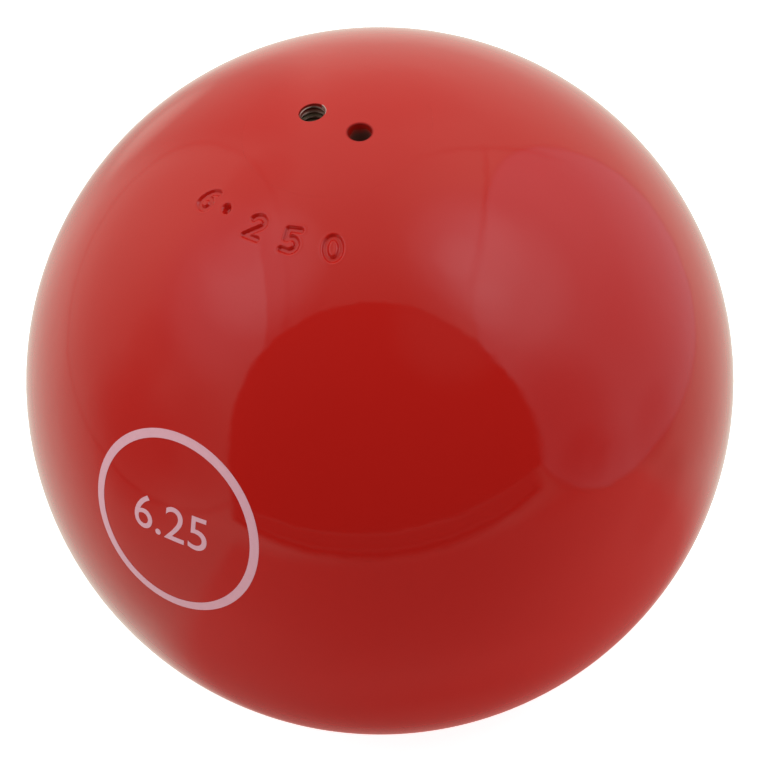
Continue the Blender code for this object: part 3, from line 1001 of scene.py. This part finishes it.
def tapped_iron():
    """The port's thread: crests rubbed by the tap and lighter as a painted highlight, over oily grooves
    darkened as painted shade, with paint in the first.
    """
    material, tree, shader, place = new_finish("Tapped cast iron")
    *_, away = from_axis(tree, place, (PORT_X * MM, 0.0, 0.0))
    deep = add(tree, RANGE, (away, (PORT_CORE + 0.04) * MM, (PORT_CORE + 0.2) * MM), **SOFT)
    height = add(tree, "ShaderNodeSeparateXYZ", (place,)).outputs["Z"]
    low = add(tree, RANGE, (height, PAINT_RUN_Z * MM, (PAINT_RUN_Z - 0.8) * MM))
    groove = {0: low, 6: linear("8c2a20"), 7: linear("8a7f66")}
    groove = add(tree, MIX, groove, data_type="RGBA").outputs[2]
    # Crests lighter and grooves darker: partly the tap's rubbing and the oil, partly painted highlight and
    # painted shade.
    colour = add(tree, MIX, {0: deep, 6: linear("b09a8e"), 7: groove}, data_type="RGBA")
    metal = add(tree, RANGE, (deep, 0.0, 1.0, 1.0, 0.3))
    rough = add(tree, RANGE, (deep, 0.0, 1.0, 0.4, 0.6))
    fill(tree, shader, {"Base Color": colour.outputs[2], "Metallic": metal, "Roughness": rough})
    return material


def bare_edge_with_highlight():
    """The port's mouth, cut through the paint: iron rubbed bright, with a pink haze of primer left in it.
    Its bright pink also stands as a painted highlight.
    """
    material, tree, shader, place = new_finish("Bare iron edge with painted highlight")
    haze = add(tree, NOISE, {"Vector": place, "Scale": 2500.0, "Detail": 3.0})
    haze = add(tree, RANGE, (haze, 0.4, 0.6))
    colour = add(tree, MIX, {0: haze, 6: linear("cf9c92"), 7: linear("dccbc2")}, data_type="RGBA")
    fill(tree, shader, {"Base Color": colour.outputs[2], "Metallic": haze, "Roughness": 0.35})
    return material


def cast_lead():
    """Cast lead: soft grey, dulled all over by its oxide, with a brighter bloom."""
    material, tree, shader, _, bloom = clouded_finish(
        "Cast lead", 180.0, 5.0, "5d6064", "868a8e", Metallic=0.8, Roughness=0.55
    )
    bump = add(tree, "ShaderNodeBump", {"Height": bloom, "Strength": 0.3, "Distance": 0.0003})
    fill(tree, shader, {"Normal": bump})
    return material


def soft_copper():
    """Annealed copper: warm, and browned and dulled in patches by the furnace."""
    colours = "c98563", "8c5238"
    return clouded_finish("Annealed copper", 220.0, 5.0, *colours, (0.22, 0.5), Metallic=1.0)[0]


def black_steel():
    """Alloy steel under black oxide and oil: nearly black, with a low satin shine."""
    colours = "26241f", "454340"
    return clouded_finish("Black oxide steel", 600.0, 4.0, *colours, (0.3, 0.5), Metallic=0.9)[0]


def wool_felt():
    """Pressed wool felt: no weave, only a mottled grey and a soft nap."""
    nap = {"Roughness": 0.95, "Sheen Weight": 0.4}
    return clouded_finish("Pressed wool felt", 3000.0, 4.0, "6f6a60", "a8a294", **nap)[0]


def screen_ink():
    """Screen printing ink: a thin white film, which the red below turns pinkish lilac."""
    return clouded_finish("Screen printing ink", 900.0, 3.0, "ebafbc", "f5bbc5", Roughness=0.3)[0]


# Stage


def direction(azimuth, elevation):
    """The direction to a place in the tent: azimuth from the camera's own, positive to its right."""
    a, e = math.radians(CAMERA_AZIMUTH + azimuth), math.radians(elevation)
    return Vector((math.sin(a) * math.cos(e), -math.cos(a) * math.cos(e), math.sin(e)))


def bare_tree(owner):
    """The shader tree of a material or a world, emptied."""
    owner.use_nodes = True
    owner.node_tree.nodes.clear()
    return owner.node_tree


def ray_kinds(tree):
    """The kinds of ray that may meet a surface, and 1 for those that the camera sees by."""
    path = add(tree, "ShaderNodeLightPath").outputs
    seen = (path["Is Camera Ray"], path["Is Transmission Ray"])
    return path, add(tree, MATH, seen, operation="MAXIMUM")


def white_floor():
    """A white floor that shows the ball's soft shadow. Gloss sees the tent's floor in its place."""
    half, level = FLOOR_HALF_WIDTH * MM, -BALL_RADIUS * MM
    corners = [(x * half, y * half, level) for x, y in ((-1, -1), (1, -1), (1, 1), (-1, 1))]
    floor = new_object("floor", corners, [(0, 1, 2, 3)])
    floor.visible_glossy = False
    material = bpy.data.materials.new("White floor")
    tree = bare_tree(material)
    path, seen = ray_kinds(tree)
    white = laid_over(tree, 0.9, 0.6, path["Is Diffuse Ray"])
    matt = add(tree, "ShaderNodeBsdfDiffuse", {"Color": white})
    # The floor passes most light up to the ball from in front and on the right.
    place = add(tree, "ShaderNodeTexCoord").outputs["Object"]
    away = (place, (85 * MM, -3 * MM, level))
    away = add(tree, VECTOR, away, operation="DISTANCE").outputs["Value"]
    near = add(tree, RANGE, (away, 140 * MM, 0.0), **SOFT)
    passed = add(tree, MATH, (near, 0.68, 0.15), operation="MULTIPLY_ADD")
    light = add(tree, "ShaderNodeEmission", {"Strength": laid_over(tree, passed, 0.8, seen)})
    both = add(tree, "ShaderNodeAddShader", (matt, light))
    add(tree, "ShaderNodeOutputMaterial", {"Surface": both})
    floor.data.materials.append(material)


def apart(tree, value, place):
    """How far a value is from a place, to either side."""
    away = add(tree, MATH, (value, place), operation="SUBTRACT")
    return add(tree, MATH, (away,), operation="ABSOLUTE")


def line(tree, value, place, width):
    """1 where a value is at a place, falling to 0 a width away."""
    return add(tree, RANGE, (apart(tree, value, place), width, 0.0), **SOFT)


def panel_reach(tree, across, upright, middle, half, squareness):
    """0 in the middle of a panel with rounded corners, and 1 at its edge. Squareness 2 is an ellipse."""
    reaches = []
    for place, centre, size in zip((across, upright), middle, half):
        away = add(tree, MATH, (apart(tree, place, centre), size), operation="DIVIDE")
        reaches.append(add(tree, MATH, (away, squareness), operation="POWER"))
    both = add(tree, MATH, reaches, operation="ADD")
    return add(tree, MATH, (both, 1 / squareness), operation="POWER")


def glow(tree, toward, place, radius):
    """1 at a place in the tent, falling softly to 0 at a radius in degrees."""
    near = add(tree, VECTOR, (toward, direction(*place)), operation="DOT_PRODUCT").outputs["Value"]
    return add(tree, RANGE, (near, math.cos(math.radians(radius)), 1.0), **SOFT)


def off_seam(tree, toward, start, end):
    """How far a direction is to one side of the straight seam through two places in the tent."""
    across = direction(*start).cross(direction(*end)).normalized()
    return add(tree, VECTOR, (toward, across), operation="DOT_PRODUCT").outputs["Value"]


def overlap(tree, *shares):
    """As far as all of these shares reach."""
    share = shares[0]
    for other in shares[1:]:
        share = add(tree, MATH, (share, other), operation="MULTIPLY")
    return share


def laid_over(tree, level, tone, *shares):
    """A brightness with another laid over it, as far as all of its shares reach."""
    return add(tree, MIX, {"Factor": overlap(tree, *shares), "A": level, "B": tone})


def raised(tree, level, rise, *shares):
    """A brightness raised by this much, or lowered, as far as all of its shares reach."""
    return add(tree, MATH, (overlap(tree, *shares), rise, level), operation="MULTIPLY_ADD")


def tent_floor(tree, right, up, front, azimuth, elevation):
    """The floor's brightness, lit at the back and the sides, and the share that the ball shades."""
    drop = add(tree, MATH, (up, -1.0), operation="MULTIPLY")
    drop = add(tree, MATH, (drop, 0.001), operation="MAXIMUM")
    floor_right = add(tree, MATH, (right, drop), operation="DIVIDE")
    floor_front = add(tree, MATH, (front, drop), operation="DIVIDE")
    aside = add(tree, MATH, (floor_right,), operation="ABSOLUTE")
    shade = raised(tree, floor_front, -0.86, aside)
    shade = raised(tree, shade, 0.2, floor_right)
    shade = add(tree, RANGE, (shade, -1.0, -0.67), **SOFT)
    aside = add(tree, MATH, (azimuth,), operation="ABSOLUTE")
    aside = add(tree, RANGE, (aside, 10, 90, 0.0, 0.44), **SOFT)
    far = add(tree, RANGE, (elevation, -65, -35), **SOFT)
    dark = add(tree, RANGE, (elevation, -82, -60, 0.25, 0.45), **SOFT)
    dark = raised(tree, dark, far, aside)
    lit = add(tree, RANGE, (front, -0.64, 0.13, 0.89, 0.48), **SOFT)
    return laid_over(tree, lit, dark, shade), shade


# The tent's side boxes: middle and half size in degrees, tilt, squareness, and how much brighter inside
BOXES = [((-98, 28), (55, 41), 0.0, 2.6, -0.03), ((88, 14), (46, 39), 0.08, 3.0, 0.06)]

# Lamps and darker patches: each place and radius in degrees, and how much brighter it is there
PATCHES = [
    ((-93, 61.6), 23, 0.633),
    ((-81.4, 56.2), 26.6, -0.26),
    ((-115, 45), 40, 0.07),
    ((80, 44.5), 25, 0.4),
    ((86, 57), 21, 0.36),
    ((63.3, 46.8), 10, 0.18),
    ((91.6, 45.6), 40, 0.28),
    ((-94, 5), 42, -0.14),
    ((-87, -2), 22, -0.2),
    ((-62, 12), 22, -0.17),
    ((50, 5), 28, -0.28),
    ((85, -40), 12, -0.15),
    ((56, -8), 12, -0.12),
    ((0, 52), 40, -0.28),
    ((-147, 50), 12, -0.18),
    ((168, 30), 21, -0.11),
    ((-160, -11), 9, 0.3),
    ((-112, 55), 12, -0.26),
    ((80, 60), 9, 0.2),
    ((145, 41), 14, 0.06),
    ((83, -20), 12, -0.14),
    ((65, -15), 10, -0.1),
    ((-95, 21), 12, -0.08),
]


def open_front(tree, toward, right, up, front, cloth):
    """Lays the tent's open front over its cloth, on a plane that faces the ball, and its sill below."""
    ahead = add(tree, MATH, (front, 0.02), operation="MAXIMUM")
    in_front = add(tree, MATH, (front, 0.02), operation="GREATER_THAN")
    gap_right = add(tree, MATH, (right, ahead), operation="DIVIDE")
    gap_up = add(tree, MATH, (up, ahead), operation="DIVIDE")
    plane = add(tree, "ShaderNodeCombineXYZ", (gap_right, gap_up))
    leaning = {"Vector": plane, "Center": (-0.24, 1.17, 0.0), "Angle": -0.243}
    leaning = add(tree, "ShaderNodeVectorRotate", leaning, rotation_type="Z_AXIS")
    leaning = add(tree, "ShaderNodeSeparateXYZ", (leaning,)).outputs
    gap = panel_reach(tree, leaning["X"], leaning["Y"], (-0.24, 1.17), (1.31, 1.82), 2.2)
    gap = add(tree, RANGE, (gap, 1.04, 0.96), **SOFT)
    bend = add(tree, MATH, (gap_right, gap_right), operation="MULTIPLY")
    height = raised(tree, gap_up, -0.07, bend)
    wide = add(tree, RANGE, (apart(tree, gap_right, -0.16), 1.1, 0.98), **SOFT)
    foot = add(tree, RANGE, (height, -0.15, -0.135), **SOFT)
    head = add(tree, RANGE, (height, -0.03, -0.06), **SOFT)
    above = add(tree, RANGE, (height, -0.06, -0.03), **SOFT)
    room = raised(tree, 0.01, 0.12, glow(tree, toward, (42, 52), 22))
    cloth = laid_over(tree, cloth, 0.07, foot, head, wide, in_front)
    cloth = laid_over(tree, cloth, 0.0, line(tree, height, -0.172, 0.07), wide, in_front)
    return laid_over(tree, cloth, room, gap, above, in_front)


def light_tent():
    """The tent's brightness by direction, as the enamel mirrors it, and the plain light that it gives."""
    world = bpy.context.scene.world or bpy.data.worlds.new("Light tent")
    bpy.context.scene.world = world
    tree = bare_tree(world)
    toward = add(tree, "ShaderNodeTexCoord").outputs["Generated"]
    turned = {"Vector": toward, "Angle": -math.radians(CAMERA_AZIMUTH)}
    turned = add(tree, "ShaderNodeVectorRotate", turned, rotation_type="Z_AXIS")
    parts = add(tree, "ShaderNodeSeparateXYZ", (turned,)).outputs
    right, up = parts["X"], parts["Z"]
    front = add(tree, MATH, (parts["Y"], -1.0), operation="MULTIPLY")
    azimuth = add(tree, MATH, (right, front), operation="ARCTAN2")
    azimuth = add(tree, MATH, (azimuth,), operation="DEGREES")
    elevation = add(tree, MATH, (up,), operation="ARCSINE")
    elevation = add(tree, MATH, (elevation,), operation="DEGREES")

    # Cloth walls and ceiling, dimmer towards the open front, and the floor
    cloth = add(tree, RANGE, (front, -0.545, 0.05, 0.81, 0.54), **SOFT)
    ground, shade = tent_floor(tree, right, up, front, azimuth, elevation)

    # Softboxes behind both side walls: each a panel of lit cloth that reaches the floor, seamed all round
    reaches, under = [], [add(tree, RANGE, (elevation, -6, -15), **SOFT)]
    for middle, half, tilt, squareness, _ in BOXES:
        aslant = add(tree, MATH, (azimuth, middle[0]), operation="SUBTRACT")
        aslant = raised(tree, elevation, tilt, aslant)
        reaches.append(panel_reach(tree, azimuth, aslant, middle, half, squareness))
        under.append(add(tree, RANGE, (reaches[-1], 0.98, 1.02), **SOFT))
    cloth = laid_over(tree, cloth, ground, *under)
    # Where the ball shades the floor, gloss sees it tinted red: painted bounce light from the ball.
    reddened = overlap(tree, *under, shade)

    # A fold of the cloth, hanging at the back
    fold = panel_reach(tree, azimuth, elevation, (-163, 4), (12, 36), 2.0)
    cloth = raised(tree, cloth, -0.26, add(tree, RANGE, (fold, 1.4, 0.6), **SOFT))

    for box, (*_, rise) in zip(reaches, BOXES):
        inside = add(tree, RANGE, (box, 1.02, 0.98), **SOFT)
        rim = add(tree, RANGE, (box, 0.7, 1.0, rise, rise + 0.05), **SOFT)
        cloth = raised(tree, cloth, rim, inside)
        cloth = raised(tree, cloth, -0.12, line(tree, box, 1.0, 0.03))

    # The left box's lamp ends at the box's frame.
    frame_edge = add(tree, RANGE, (reaches[0], 0.84, 0.815, 0.0, 0.475), **SOFT)
    cloth = raised(tree, cloth, glow(tree, toward, (-85, 53.4), 27.4), frame_edge)

    # The cloth is warm white. The lamps and the right box are cooler.
    cool = inside
    for place, radius in (((82, 52), 30), ((-90, 52), 34)):
        cool = add(tree, MATH, (cool, glow(tree, toward, place, radius)), operation="MAXIMUM")
    tint = {0: cool, 6: linear("fffff0"), 7: linear("f8f8ff")}
    tint = add(tree, MIX, tint, data_type="RGBA").outputs[2]

    for place, radius, rise in PATCHES:
        cloth = raised(tree, cloth, rise, glow(tree, toward, place, radius))

    # Two straight seams of the right wall: along the ceiling, and from there down the wall
    off_ceiling = off_seam(tree, toward, (138.0, 40.2), (132.2, 25.0))
    seam = line(tree, off_ceiling, 0.0, 0.03), glow(tree, toward, (136, 35), 25)
    cloth = raised(tree, cloth, -0.16, *seam)
    off_wall = off_seam(tree, toward, (127.7, 42.4), (93.0, 54.0))
    seam = line(tree, off_wall, 0.0, 0.025), glow(tree, toward, (110, 50), 34)
    below = add(tree, RANGE, (off_ceiling, 0.01, -0.02))
    cloth = raised(tree, cloth, -0.28, *seam, below)
    mirrored = open_front(tree, toward, right, up, front, cloth)

    # The light itself is one plain level from all round, but for the open front.
    plain = add(tree, MATH, (up, -0.2, front), operation="MULTIPLY_ADD")
    plain = add(tree, RANGE, (plain, 0.17, 0.7, 1.18, 0.03), **SOFT)
    path, seen = ray_kinds(tree)
    tent = laid_over(tree, plain, mirrored, path["Is Glossy Ray"])
    tone = {0: reddened, 6: tint, 7: linear("ffa9a0")}
    tone = add(tree, MIX, tone, data_type="RGBA").outputs[2]
    tone = {0: path["Is Glossy Ray"], 6: linear("ffffff"), 7: tone}
    tone = add(tree, MIX, tone, data_type="RGBA").outputs[2]
    shine = {"Color": tone, "Strength": laid_over(tree, tent, 1.0, seen)}
    shine = add(tree, "ShaderNodeBackground", shine)
    add(tree, "ShaderNodeOutputWorld", {"Surface": shine})


def camera():
    """Seen from above and to one side, close to the photograph's view."""
    data = bpy.data.cameras.new("camera")
    data.lens = CAMERA_LENS
    data.clip_start = 0.01
    data.shift_x = (IMAGE_SIZE / 2 - BALL_CENTRE_PIXEL[0]) / IMAGE_SIZE
    data.shift_y = (BALL_CENTRE_PIXEL[1] - IMAGE_SIZE / 2) / IMAGE_SIZE
    obj = bpy.data.objects.new("camera", data)
    back = direction(0.0, CAMERA_ELEVATION)
    obj.location = back * CAMERA_DISTANCE * MM
    roll = Euler((0.0, 0.0, -math.radians(CAMERA_ROLL))).to_quaternion()
    obj.rotation_mode = "QUATERNION"
    obj.rotation_quaternion = (-back).to_track_quat("-Z", "Y") @ roll
    bpy.context.scene.collection.objects.link(obj)
    bpy.context.scene.camera = obj


def dress():
    """Makes every piece, and says which body it moves with and which CAD nodes it stands for."""
    enamel, iron, lead = gloss_enamel(), machined_iron(), cast_lead()
    thread = cut_thread_tree()
    pieces = [
        (ball_piece(enamel, iron, thread), "ball", "red_enamel", ["iron_ball"]),
        (plug_piece(enamel, iron, thread), "plug", "red_enamel", ["loading_plug"]),
        (screw_piece(black_steel(), thread), "screw", "black_steel", ["set_screw"]),
        (washer_piece(soft_copper()), "washer", "copper", ["sealing_washer"]),
        (core_piece(lead), "ball", "lead", ["lead_core"]),
        (shot_piece(lead, poured_shot_tree()), "ball", "lead", SHOT_NODES),
        (wad_piece(wool_felt(), felt_fuzz_tree()), "wad", "felt", ["felt_wad"]),
        (print_piece(screen_ink(), screen_print_tree()), "ball", None, []),
    ]
    for piece, body, slot, nodes in pieces:
        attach(piece, body)
        if nodes:
            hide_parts(*nodes)


dress()
white_floor()
light_tent()
camera()
bpy.context.scene.view_settings.view_transform = "Standard"
